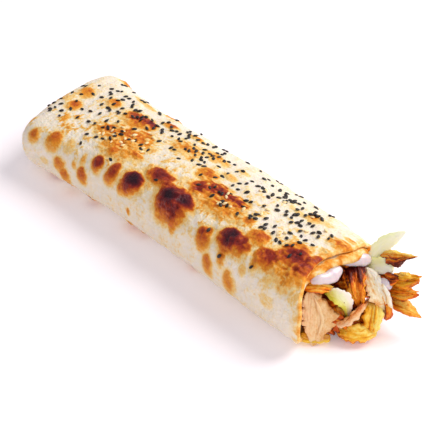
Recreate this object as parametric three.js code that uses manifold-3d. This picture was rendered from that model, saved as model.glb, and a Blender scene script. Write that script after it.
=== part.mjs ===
// A rolled flatbread wrap with chicken, cabbage and white sauce, lying on its flat side.
// Millimetres, +Z up. The roll lies along X: its tucked end is at -X and its open end, the mouth,
// at +X. The seam of the roll is low on the +Y side. The origin is on the table, under the middle.
import * as THREE from "three";
import { mergeVertices } from "three/addons/utils/BufferGeometryUtils.js";
import Module from "manifold-3d";

const wasm = await Module();
wasm.setup();

// Driving dimensions of the roll
const ROLL_LENGTH = 246.9;
const TUCKED_END_X = -136.7;
const MOUTH_X = TUCKED_END_X + ROLL_LENGTH;
const FARTHEST_SHARE = 1.1;

// Its section at even stations from the tucked end to the mouth: how far the front and the back
// stand from the axis, the height, and how square the top and the base are
const FRONT_REACH = [42.4, 34.5, 33.7, 34.6];
const BACK_REACH = [44, 35.8, 36.8, 33.9];
const ROLL_HEIGHTS = [34.6, 42.2, 45.7];
const TOP_SQUARENESS = [3.0, 2.35];
const BASE_SQUARENESS = [2.9, 3.3];
const FLAT_BASE_SINK = 0.9;
const BACK_CORNER_LEAD = 7.5;
const END_ROUNDING = 15;
const END_ROUNDING_POWER = 2.2;
const WAVES = [
  { height: 0.55, perLength: 0.043, perTurn: 2.1, start: 0.6 },
  { height: 0.4, perLength: 0.101, perTurn: -3, start: 1.9 },
];

// The rim of the mouth, lengthwise: angles and spreads in degrees round the roll
const RIM_SET_BACK = 9;
const RIM_LEADS = [
  { lead: 11.5, angle: 183, spread: 44 },
  { lead: -1.8, angle: 101, spread: 12 },
  { lead: 1.8, angle: 69, spread: 20 },
];
const LIP_ROUNDING = 0.9;

// The rolled sheet: one and a half turns, so that the top and the back have two layers
const SHEET_THICKNESS = 2.8;
const LAYER_GAP = 0.4;
const SEAM_ANGLE = -34;
const INNER_EDGE_ANGLE = 150;
const SEAM_LEDGE = 1.3;
const SEAM_LEDGE_SPREAD = 34;
const DOUBLING_AT_SEAM = 26;
const DOUBLING_AT_INNER_EDGE = { before: 4, past: 8 };
const GAP_OVERRUN = 9;
const INNER_LAYER_LEAD = 2.6;
const TUCK_DEPTH = 9;
const TUCK_SOFTNESS = { inset: 9, run: 16 };

// The filling inside and the clearance between pieces that touch
const CLEARANCE = 0.35;
const CORE_TUCKED_X = TUCKED_END_X + TUCK_DEPTH + 5;
const CORE_MOUTH_X = MOUTH_X - 10;
const PAST_MOUTH_X = MOUTH_X + 16;

// How finely the roll is faceted: shares of the rounded end, then even steps
const END_STEPS = [0, 0.04, 0.14, 0.3, 0.52, 0.76, 1];
const STRAIGHT_STEPS = 10;
const OUTSIDE_SIDES = 36;
const INNER_LAYER_SIDES = 37;
const INSIDE_SIDES = 29;
const INSIDE_STEPS = 12;
const CORE_STEPS = 11;
const GAP_TURN_STEPS = 18;
const GAP_LENGTH_STEPS = 9;

// The filling pieces: how square their ends and sides are, how thin their narrow parts are, and
// how finely they are faceted
const END_POWER = 5;
const USUAL_BOXY = 3;
const THIN_PART = 0.35;
const EVEN_RINGS = 0.7;
const PIECE_SIDES = 10;
const PIECE_RINGS = 11;
const POLE_RADIUS = 1e-6;
const LOWEST = 0.1;

const deg = THREE.MathUtils.degToRad;
const smooth = (value, from, to) => THREE.MathUtils.smoothstep(value, from, to);

// ---------------------------------------------------------------- solids from three.js shapes

// Merges a three.js geometry, moves each of its points and makes it a closed solid.
function solidFrom(geometry, place) {
  geometry.deleteAttribute("normal");
  geometry.deleteAttribute("uv");
  const merged = mergeVertices(geometry);
  const points = merged.attributes.position;
  const point = new THREE.Vector3();
  for (let i = 0; i < points.count; i += 1) {
    point.fromBufferAttribute(points, i);
    const placed = place(point);
    points.setXYZ(i, placed.x, placed.y, placed.z);
  }
  const triVerts = Uint32Array.from(merged.index.array);
  if (signedVolume(points, triVerts) < 0) {
    for (let i = 0; i < triVerts.length; i += 3) {
      [triVerts[i], triVerts[i + 1]] = [triVerts[i + 1], triVerts[i]];
    }
  }
  const vertProperties = Float32Array.from(points.array);
  return new wasm.Manifold(new wasm.Mesh({ numProp: 3, vertProperties, triVerts }));
}

function signedVolume(points, triVerts) {
  const [a, b, c] = [new THREE.Vector3(), new THREE.Vector3(), new THREE.Vector3()];
  let volume = 0;
  for (let i = 0; i < triVerts.length; i += 3) {
    a.fromBufferAttribute(points, triVerts[i]);
    b.fromBufferAttribute(points, triVerts[i + 1]);
    c.fromBufferAttribute(points, triVerts[i + 2]);
    volume += a.dot(b.cross(c)) / 6;
  }
  return volume;
}

// A closed loft along X: a cylinder whose rings are placed by lengthwise share, angle and radius.
function loft(sides, steps, placeRing) {
  const cylinder = new THREE.CylinderGeometry(1, 1, 1, sides, steps);
  return solidFrom(cylinder, (point) => {
    const radius = Math.hypot(point.x, point.z);
    const angle = Math.atan2(point.z, point.x);
    return placeRing(point.y + 0.5, angle, radius);
  });
}

// ---------------------------------------------------------------- the outline of the roll

// A size of the roll at x, on the smooth curve through its sizes at even stations.
function along(x, sizes) {
  const share = THREE.MathUtils.clamp((x - TUCKED_END_X) / ROLL_LENGTH, 0, FARTHEST_SHARE);
  const station = share * (sizes.length - 1);
  return sizes.reduce((total, size, i) => {
    const weights = sizes.map((_, j) => (i === j ? 1 : (station - j) / (i - j)));
    return total + size * weights.reduce((product, weight) => product * weight, 1);
  }, 0);
}

// How far the rounded tucked end has drawn in at x.
function endInset(x) {
  const reach = THREE.MathUtils.clamp(1 - (x - TUCKED_END_X) / END_ROUNDING, 0, 1);
  return END_ROUNDING * (1 - Math.pow(1 - Math.pow(reach, END_ROUNDING_POWER), 1 / END_ROUNDING_POWER));
}

// Soft waves that the hand-rolled sheet has over its top.
function waves(x, angle) {
  const fade = Math.sqrt(Math.max(Math.sin(angle), 0));
  const sum = WAVES.reduce(
    (total, wave) => total + wave.height * Math.sin(wave.perLength * x + wave.perTurn * angle + wave.start),
    0,
  );
  return sum * fade;
}

// A point of the roll: 0 is the back (+Y), 90 the top, 180 the front and 270 the base.
function rollPoint(x, angle, inset, radius = 1) {
  const isTop = Math.sin(angle) > 0;
  const power = 2 / along(x, isTop ? TOP_SQUARENESS : BASE_SQUARENESS);
  const drawn = inset + endInset(x) - waves(x, angle);
  const halfWidth = along(x, Math.cos(angle) > 0 ? BACK_REACH : FRONT_REACH) - drawn;
  const halfHeight = along(x, ROLL_HEIGHTS) / 2;
  const across = Math.sign(Math.cos(angle)) * Math.pow(Math.abs(Math.cos(angle)), power);
  const up = Math.sign(Math.sin(angle)) * Math.pow(Math.abs(Math.sin(angle)), power);
  const y = halfWidth * across * radius;
  const z = halfHeight + (halfHeight + (isTop ? 0 : FLAT_BASE_SINK) - drawn) * up * radius;
  const lead = -BACK_CORNER_LEAD * (1 - (x - TUCKED_END_X) / ROLL_LENGTH);
  return new THREE.Vector3(x + lead * (y / halfWidth) * radius, y, Math.max(z, inset));
}

// Where the mouth's rim lies: out at the front wall, drawn back at the top corner.
function rimX(angle) {
  return RIM_LEADS.reduce((x, { lead, angle: direction, spread }) => {
    const away = wrapped(angle, direction) / spread;
    return x + lead * Math.exp(-away * away);
  }, MOUTH_X - RIM_SET_BACK);
}

// The signed turn in degrees from a direction to an angle, within half a turn.
function wrapped(angle, direction) {
  const turn = THREE.MathUtils.radToDeg(angle) - direction;
  return THREE.MathUtils.euclideanModulo(turn + 180, 360) - 180;
}

// 1 where the sheet lies double, over the top and down the back, and 0 on the base and the front.
function doubled(angle) {
  const turn = wrapped(angle, (SEAM_ANGLE + INNER_EDGE_ANGLE) / 2);
  const half = (INNER_EDGE_ANGLE - SEAM_ANGLE) / 2;
  const slopeAtSeam = smooth(turn, -half - DOUBLING_AT_SEAM, -half);
  const { before, past } = DOUBLING_AT_INNER_EDGE;
  const slopeAtInnerEdge = 1 - smooth(turn, half - before, half + past);
  return slopeAtSeam * slopeAtInnerEdge;
}

// The ledge that the outer edge of the sheet makes on the layer below it.
function seamLedge(angle) {
  const below = -wrapped(angle, SEAM_ANGLE);
  return below > 0 ? SEAM_LEDGE * (1 - smooth(below, 0, SEAM_LEDGE_SPREAD)) : 0;
}

// ---------------------------------------------------------------- the flatbread

// The outside of the roll out to the rounded rim of the mouth.
function rollOutside(inset, lead, sides) {
  const steps = END_STEPS.length + STRAIGHT_STEPS;
  const straightX = TUCKED_END_X + END_ROUNDING;
  return loft(sides, steps, (share, angle, radius) => {
    const step = Math.round(share * steps);
    const run = (step - END_STEPS.length + 1) / (STRAIGHT_STEPS + 1);
    const x = step < END_STEPS.length
      ? TUCKED_END_X + END_ROUNDING * END_STEPS[step]
      : THREE.MathUtils.lerp(straightX, rimX(angle) + lead, run);
    const lip = step === steps ? LIP_ROUNDING : 0;
    return rollPoint(x, angle, inset + seamLedge(angle) + lip, radius);
  });
}

// The hollow inside the roll, soft at the tucked end.
function rollInside(inset, fromX, toX, steps) {
  return loft(INSIDE_SIDES, steps, (share, angle, radius) => {
    const x = THREE.MathUtils.lerp(fromX, toX, share);
    const layers = SHEET_THICKNESS + doubled(angle) * (SHEET_THICKNESS + LAYER_GAP);
    const closing = 1 - smooth(x, fromX, fromX + TUCK_SOFTNESS.run);
    const softEnd = TUCK_SOFTNESS.inset * closing * closing;
    return rollPoint(x, angle, layers + seamLedge(angle) + inset + softEnd, radius);
  });
}

// The gap between the two layers, from the seam outside to the inner edge of the sheet.
function layerGap() {
  const start = SEAM_ANGLE - GAP_OVERRUN;
  const end = INNER_EDGE_ANGLE + GAP_OVERRUN;
  const strip = new THREE.BoxGeometry(1, 1, 1, GAP_TURN_STEPS, GAP_LENGTH_STEPS, 1);
  return solidFrom(strip, (point) => {
    const angle = THREE.MathUtils.lerp(start, end, point.x + 0.5);
    const x = THREE.MathUtils.lerp(TUCKED_END_X + TUCK_DEPTH, PAST_MOUTH_X, point.y + 0.5);
    const leaving = 2 * SHEET_THICKNESS * (1 - smooth(angle, start, SEAM_ANGLE + GAP_OVERRUN));
    const entering = 2 * SHEET_THICKNESS * smooth(angle, INNER_EDGE_ANGLE - GAP_OVERRUN, end);
    const depth = SHEET_THICKNESS + LAYER_GAP / 2 - leaving + entering;
    return rollPoint(x, deg(angle), depth + point.z * LAYER_GAP);
  });
}

// The roll's wall, swollen by a clearance where it has to keep clear of the filling.
function rollWall(clearance) {
  const outside = rollOutside(-clearance, clearance, OUTSIDE_SIDES);
  const belowOuterLayer = SHEET_THICKNESS + LAYER_GAP / 2;
  const innerLayer = rollOutside(belowOuterLayer, INNER_LAYER_LEAD + clearance, INNER_LAYER_SIDES);
  const inside = rollInside(clearance, TUCKED_END_X + TUCK_DEPTH, PAST_MOUTH_X, INSIDE_STEPS);
  return outside.add(innerLayer).subtract(inside);
}

function flatbread() {
  return rollWall(0).subtract(layerGap());
}

// ---------------------------------------------------------------- the filling pieces

// How far a piece reaches to its left and to its right at a share of its length.
function reaches(outline, share) {
  const station = share * (outline.length - 1);
  const before = Math.min(Math.floor(station), outline.length - 2);
  return [0, 1].map((side) => (
    THREE.MathUtils.lerp(outline[before][side], outline[before + 1][side], station - before)
  ));
}

// A torn or cut piece: a ball drawn out along a path between its left and its right edge, as
// seen from the side that it faces, and cut off flat on the table.
function piece({ path, outline, thick, facing, boxy = USUAL_BOXY }, grow = 0) {
  const curve = new THREE.CatmullRomCurve3(path.map((at) => new THREE.Vector3(...at)));
  const face = new THREE.Vector3(...facing).normalize();
  const broadest = Math.max(...outline.map(([left, right]) => left + right));
  const ball = new THREE.SphereGeometry(1, PIECE_SIDES, PIECE_RINGS);
  const solid = solidFrom(ball, (point) => {
    const height = THREE.MathUtils.clamp(point.y, -1, 1);
    const share = THREE.MathUtils.lerp((height + 1) / 2, 1 - Math.acos(height) / Math.PI, EVEN_RINGS);
    const reach = 2 * share - 1;
    const ring = Math.hypot(point.x, point.z);
    const turn = Math.atan2(point.z, point.x);
    const full = Math.pow(1 - Math.pow(Math.abs(reach), END_POWER), 1 / END_POWER);
    const boxed = Math.pow(
      Math.pow(Math.abs(Math.cos(turn)), boxy) + Math.pow(Math.abs(Math.sin(turn)), boxy),
      -1 / boxy,
    );
    const [toLeft, toRight] = reaches(outline, share);
    const halfWidth = Math.cos(turn) > 0 ? toLeft : toRight;
    const halfThick = (thick / 2) * (THIN_PART + (1 - THIN_PART) * (toLeft + toRight) / broadest);
    const centre = curve.getPoint(share);
    const heading = curve.getTangent(share);
    const across = new THREE.Vector3().crossVectors(face, heading).normalize();
    const outward = new THREE.Vector3().crossVectors(heading, across).normalize();
    const size = ring < POLE_RADIUS ? 0 : full * boxed;
    const grown = ring < POLE_RADIUS ? 0 : grow;
    return centre
      .addScaledVector(across, Math.cos(turn) * (halfWidth * size + grown))
      .addScaledVector(outward, Math.sin(turn) * (halfThick * size + grown))
      .addScaledVector(heading, reach * grow);
  });
  return solid.trimByPlane([0, 0, 1], LOWEST);
}

// The largest body of what is left of a piece after cuts.
function largestBody(solid) {
  return solid.decompose().reduce((kept, body) => (body.volume() > kept.volume() ? body : kept));
}

// Every piece that shows at the mouth, from the ones that keep their whole shape to the ones
// that give way to them. Paths run from inside the roll to the free end, and outlines hold how
// far the piece reaches to its left and its right at even stations along its path.
const FRONT = [0.75, -0.6, 0.3];
const TOWARDS = [0.6, -0.55, 0.6];
const PIECES = {
  chicken_slice_front: {
    path: [[110, -20.5, 0.5], [108.5, -16.5, 11], [105.5, -15.5, 20.5], [103, -16, 29.5]],
    outline: [[1, 2.6], [5.5, 4.4], [7.6, 9.6], [8.4, 10.4], [7.6, 7], [6.3, 4.7], [3.7, 2.6]],
    thick: 5,
    facing: FRONT,
    boxy: 5,
  },
  sauce_front: {
    path: [[103, -17, 36.5], [105.4, -12.6, 37.4], [106.4, -6, 36.4], [105.6, 2, 37.8]],
    outline: [[2, 1.6], [3, 2.6], [3, 3.2], [4.2, 4], [2.6, 2.8]],
    thick: 6,
    facing: TOWARDS,
    boxy: 2,
  },
  sauce_back: {
    path: [[103.6, 5.2, 37.8], [105.4, 9.5, 37.6], [107.2, 15.5, 36.9], [107.6, 21.5, 35.2]],
    outline: [[1, 1], [2.4, 2], [3.2, 2.8], [3.6, 3.6], [2.8, 3]],
    thick: 5.4,
    facing: TOWARDS,
    boxy: 2,
  },
  chicken_slice_centre: {
    path: [[99, 17, 30.5], [107.5, 12, 31], [114.5, 7, 27.5], [118, 6, 19.5]],
    outline: [[5, 6], [5.2, 8.4], [3.8, 7.6], [3.4, 5.4], [2.4, 3.2]],
    thick: 7,
    facing: TOWARDS,
    boxy: 4,
  },
  chicken_slice_pale: {
    path: [[106.5, 18, 30.5], [115.5, 15.5, 30.5], [123, 14.5, 26], [126.5, 16, 18.5], [126.5, 18, 10]],
    outline: [[1.6, 2], [3.7, 5.8], [3.6, 6.8], [2.1, 4.2], [0.8, 0.8]],
    thick: 5,
    facing: TOWARDS,
    boxy: 4,
  },
  chicken_strip_front: {
    path: [[94, -17.5, 29], [100, -15.5, 31.5], [104.5, -11.5, 32], [106.5, -5.5, 28.5]],
    outline: [[2, 2], [2.6, 2.8], [2.8, 3.2], [1.6, 1.6]],
    thick: 6,
    facing: TOWARDS,
  },
  cabbage_leaf_centre: {
    path: [[105, -8.5, 27.5], [112, -7, 28], [116, -4, 25], [116.5, -2, 18], [115, -1.5, 11]],
    outline: [[1.6, 2], [3.9, 4.2], [4.6, 4.6], [1.6, 2.2], [0.8, 0.8]],
    thick: 2.6,
    facing: FRONT,
    boxy: 4,
  },
  chicken_curl_low: {
    path: [[113.5, -9, 9.5], [118.5, -5.5, 12.5], [121, -2, 16.5], [120, 5, 18.5], [117, 11.5, 17]],
    outline: [[1.6, 1.4], [2, 2], [2.3, 2.2], [2, 1.6], [1, 1]],
    thick: 6,
    facing: TOWARDS,
  },
  chicken_chunk_low: {
    path: [[113.5, -5.5, 3.6], [120.5, -3, 4.8], [125.5, 1.5, 4.8], [126, 9.5, 3.2]],
    outline: [[3.4, 1.8], [5.6, 3.8], [6, 3.9], [5, 2.8], [2.4, 1.6]],
    thick: 9,
    facing: TOWARDS,
    boxy: 5,
  },
  chicken_chunk_side: {
    path: [[116, 15.5, 15], [123, 10, 14.5], [125.5, 7, 11], [124.5, 7, 4]],
    outline: [[4, 3], [5.2, 4.7], [4.9, 4.7], [3, 3]],
    thick: 9,
    facing: TOWARDS,
    boxy: 5,
  },
  cabbage_leaf_low: {
    path: [[101.5, -25, 3.2], [106, -21, 2.8], [110.5, -16, 2.7], [114, -11.5, 2.9]],
    outline: [[1.4, 1.2], [3.4, 2.6], [3.4, 2.6], [2.4, 1.8]],
    thick: 5,
    facing: TOWARDS,
  },
  lettuce_shard_top: {
    path: [[106.5, 22, 34], [109.5, 27, 40.5], [113.5, 31.5, 46], [117.5, 37, 51]],
    outline: [[2, 2], [4.2, 3.4], [4.8, 3.6], [3.4, 2.8], [0.8, 1]],
    thick: 1.4,
    facing: TOWARDS,
    boxy: 2.2,
  },
  cabbage_block_top: {
    path: [[103, 22, 27.5], [110.5, 22, 32], [116.5, 23, 35], [121.5, 25, 36.5]],
    outline: [[3, 3], [4.2, 4.4], [4.2, 4.6], [3.6, 4.2]],
    thick: 4,
    facing: TOWARDS,
    boxy: 6,
  },
  chicken_strip_top: {
    path: [[106.5, 27.5, 32.5], [114, 27, 38], [121.5, 26, 41], [127.5, 26, 45], [137, 26, 51]],
    outline: [[0.8, 0.8], [2.1, 1.3], [3.9, 4.4], [3.7, 3.9], [1.6, 1.8], [0.2, 0.2]],
    thick: 5,
    facing: TOWARDS,
  },
  chicken_strip_brown: {
    path: [[106.5, 23, 25], [116, 23, 28.5], [123.5, 22.5, 31], [128.5, 25.5, 33]],
    outline: [[1, 1], [1.9, 2.9], [2.4, 3.1], [0.4, 0.4]],
    thick: 5,
    facing: TOWARDS,
  },
  chicken_strip_forked: {
    path: [[115.5, 26, 21.5], [123, 26, 27], [130.5, 26, 31.5], [137, 27.5, 36]],
    outline: [[2.6, 2.6], [4, 3.4], [4.6, 4.6], [1.6, 2.2]],
    thick: 5,
    facing: TOWARDS,
  },
  chicken_strip_middle: {
    path: [[115.5, 24.5, 17], [124.5, 24.5, 21.5], [131.5, 25, 24.5], [136.5, 27.5, 26.5]],
    outline: [[2.4, 2.4], [3.4, 3.6], [4, 4], [1.6, 1.6]],
    thick: 5,
    facing: TOWARDS,
  },
  chicken_strip_low: {
    path: [[116.5, 25, 13], [126, 24, 16], [134, 24.5, 16.5], [141.6, 27.5, 13]],
    outline: [[2.2, 2], [3.4, 3.4], [4.2, 3.8], [2.8, 2.4], [0.3, 0.3]],
    thick: 5,
    facing: TOWARDS,
  },
  chicken_skin_strip: {
    path: [[125, 15, 22], [128.5, 15, 18.5], [129, 16, 14], [126.5, 16.5, 8.5]],
    outline: [[0.8, 0.8], [1.2, 1.2], [1.4, 1.6], [1, 1.2]],
    thick: 3,
    facing: TOWARDS,
  },
  sauce_side: {
    path: [[118.5, 16.5, 30], [123, 17.5, 30], [126.5, 19, 27.5]],
    outline: [[1, 1], [2.2, 2], [2.4, 2.4], [1.6, 1.4]],
    thick: 4,
    facing: TOWARDS,
    boxy: 2,
  },
};

// ---------------------------------------------------------------- looks

const COLOURS = {
  flatbread: [0xf3e2c0, 0.7],
  filling_core: [0x8a4a1e, 0.6],
  chicken_slice_front: [0xdcae78, 0.5],
  chicken_slice_centre: [0xc07a34, 0.45],
  chicken_slice_pale: [0xead2ae, 0.5],
  chicken_curl_low: [0xdfa27c, 0.45],
  chicken_skin_strip: [0x9a4c1c, 0.4],
  sauce: [0xf2e9ea, 0.25],
  cabbage: [0xdfe0a0, 0.4],
  lettuce: [0xd5e3b4, 0.35],
  chicken: [0xcf7c24, 0.45],
};

function materialOf(name) {
  const kind = name.split("_")[0];
  const [color, roughness] = COLOURS[name] ?? COLOURS[kind];
  return new THREE.MeshStandardMaterial({ color, roughness, metalness: 0 });
}

function meshOf(name, solid) {
  const { vertProperties, triVerts } = solid.getMesh();
  const geometry = new THREE.BufferGeometry();
  geometry.setAttribute("position", new THREE.BufferAttribute(vertProperties, 3));
  geometry.setIndex(new THREE.BufferAttribute(triVerts, 1));
  geometry.computeVertexNormals();
  const mesh = new THREE.Mesh(geometry, materialOf(name));
  mesh.name = name;
  return mesh;
}

// ---------------------------------------------------------------- the wrap put together

const wrap = new THREE.Group();

wrap.add(meshOf("flatbread", flatbread()));

const wallWithClearance = rollWall(CLEARANCE);

// The packed filling runs the length of the roll and gives way to the pieces at the mouth.
let core = rollInside(2 * CLEARANCE, CORE_TUCKED_X, CORE_MOUTH_X, CORE_STEPS);
core = core.subtract(wallWithClearance);

const grownBefore = [];
for (const [name, shape] of Object.entries(PIECES)) {
  let solid = piece(shape);
  for (const neighbour of grownBefore) {
    solid = solid.subtract(neighbour);
  }
  solid = solid.subtract(wallWithClearance);
  const grown = piece(shape, CLEARANCE);
  core = core.subtract(grown);
  grownBefore.push(grown);
  wrap.add(meshOf(name, largestBody(solid)));
}
wrap.add(meshOf("filling_core", largestBody(core)));

export default wrap;
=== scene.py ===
import math
import random

import bmesh
import bpy
import numpy as np
from mathutils import Matrix, Vector, noise


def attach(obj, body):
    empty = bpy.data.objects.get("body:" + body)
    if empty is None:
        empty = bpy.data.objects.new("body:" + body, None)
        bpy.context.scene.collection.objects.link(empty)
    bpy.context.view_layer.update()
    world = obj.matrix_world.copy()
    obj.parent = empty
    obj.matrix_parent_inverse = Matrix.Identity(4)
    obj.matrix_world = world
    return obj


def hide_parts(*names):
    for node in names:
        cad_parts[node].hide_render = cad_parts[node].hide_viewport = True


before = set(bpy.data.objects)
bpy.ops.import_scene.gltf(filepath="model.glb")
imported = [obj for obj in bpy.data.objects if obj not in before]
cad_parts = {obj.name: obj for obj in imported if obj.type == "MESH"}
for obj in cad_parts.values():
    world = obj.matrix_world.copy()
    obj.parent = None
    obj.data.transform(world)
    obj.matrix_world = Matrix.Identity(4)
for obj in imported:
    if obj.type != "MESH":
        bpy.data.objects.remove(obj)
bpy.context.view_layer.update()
MM = 0.001

# ------------------------------------------------------------------ the flatbread
# One sheet of leavened dough, baked in a very hot oven until it blisters, then rolled one and a
# half turns round the filling: a single layer on the base and the front, two over the top and
# down the back. The far end is tucked shut, the near end is the open mouth.

# Sizes are in mm, and those in brackets run from the tucked end to the mouth. A soft wave is its
# height, how fast it runs along and round the roll, and its start.
TUCKED_END, ROLL_LENGTH = -136.7, 246.9
FRONT_REACH = (42.4, 34.5, 33.7, 34.6)
BACK_REACH = (44.0, 35.8, 36.8, 33.9)
ROLL_HEIGHTS = (34.6, 42.2, 45.7)
TOP_SQUARENESS, BASE_SQUARENESS = (3.0, 2.35), (2.9, 3.3)
END_ROUNDING, END_POWER = 15.0, 2.2
BACK_CORNER_LEAD = 7.5
BASE_SINK = 0.9
SOFT_WAVES = ((0.55, 0.043, 2.1, 0.6), (0.4, 0.101, -3, 1.9))
SHEET_THICKNESS, LAYER_GAP = 2.8, 0.4
INNER_EDGE_TURN, SEAM_TURN = 150.0, -394.0
SEAM_ANGLE = SEAM_TURN + 360
STRAIGHT_START = TUCKED_END + END_ROUNDING


def sized(share, sizes):
    """A size of the roll on the smooth curve through its sizes at even stations."""
    station = share * (len(sizes) - 1)
    total = 0.0
    for i, size in enumerate(sizes):
        weight = 1.0
        for j in range(len(sizes)):
            if j != i:
                weight = weight * (station - j) / (i - j)
        total = total + size * weight
    return total


def ramp_between(value, low, high):
    """0 below low, 1 above high and a smooth slope between them."""
    t = np.clip((value - low) / (high - low), 0, 1)
    return t * t * (3 - 2 * t)


def roll_surface(x, angle, inset, closing=0.0):
    """Points of the roll in mm: angle 0 is the back, 90 degrees the top, 180 the front."""
    share = np.clip((x - TUCKED_END) / ROLL_LENGTH, 0, 1.1)
    sine, cosine = np.sin(angle), np.cos(angle)
    is_top = sine > 0
    power = 2 / np.where(is_top, sized(share, TOP_SQUARENESS), sized(share, BASE_SQUARENESS))
    reach = np.clip(1 - (x - TUCKED_END) / END_ROUNDING, 0, 1)
    end_inset = END_ROUNDING * (1 - (1 - reach**END_POWER) ** (1 / END_POWER))
    waves = 0.0
    for height, along, beside, start in SOFT_WAVES:
        waves = waves + height * np.sin(along * x + beside * angle + start)
    drawn = inset + end_inset - waves * np.sqrt(np.clip(sine, 0, None))
    half_width = np.where(cosine > 0, sized(share, BACK_REACH), sized(share, FRONT_REACH)) - drawn
    half_height = sized(share, ROLL_HEIGHTS) / 2
    across = np.sign(cosine) * np.abs(cosine) ** power
    up = np.sign(sine) * np.abs(sine) ** power
    rise = (half_height + np.where(is_top, 0, BASE_SINK) - drawn) * (1 - closing)
    z = np.maximum(half_height + rise * up, np.maximum(inset, 0))
    lead = -BACK_CORNER_LEAD * (1 - (x - TUCKED_END) / ROLL_LENGTH)
    return np.stack([x + lead * across, half_width * across, z], axis=-1)


GIRTH_STEPS, MIDDLE_X = 5000, -10.0


def girth_table():
    """Angle against the distance round the middle of the roll, starting at the seam."""
    angles = np.radians(np.linspace(SEAM_TURN, INNER_EDGE_TURN, GIRTH_STEPS))
    ring = roll_surface(np.full_like(angles, MIDDLE_X), angles, 0.0)
    steps = np.linalg.norm(np.diff(ring[:, 1:], axis=0), axis=1)
    return np.degrees(angles), np.concatenate([[0], np.cumsum(steps)])


TABLE_TURNS, TABLE_GIRTHS = girth_table()


def girth_at(angle_deg):
    """Millimetres round the roll from the seam, over the top (90) and down the front (180)."""
    turn = np.where(np.asarray(angle_deg) > SEAM_ANGLE, np.asarray(angle_deg) - 360, angle_deg)
    return np.interp(turn, TABLE_TURNS, TABLE_GIRTHS)


# How far the rim leads in mm, in which direction and how widely, and its ripples: height in mm,
# number round the rim and start.
RIM_SET_BACK = 9.0
RIM_LEADS = ((11.5, 183, 44), (-1.8, 101, 12), (1.8, 69, 20))
RIM_RIPPLES = ((0.5, 5, 1), (0.35, 11, 0))


def rim_at(angle):
    """Where the rim of the mouth lies: out at the front wall, drawn back over the top."""
    turn = np.degrees(angle)
    rim = TUCKED_END + ROLL_LENGTH - RIM_SET_BACK
    for lead, direction, spread in RIM_LEADS:
        away = ((turn - direction + 180) % 360 - 180) / spread
        rim = rim + lead * np.exp(-away**2)
    for height, number, start in RIM_RIPPLES:
        rim = rim + height * np.sin(np.radians(turn) * number + start)
    return rim


def noise_over(x, girth, size, layer):
    """Smooth noise over the sheet, with marks of about that size in mm."""
    spots = zip(x / size, girth / size)
    return np.fromiter((noise.noise(Vector((a, b, layer))) for a, b in spots), float, len(x))


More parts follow.
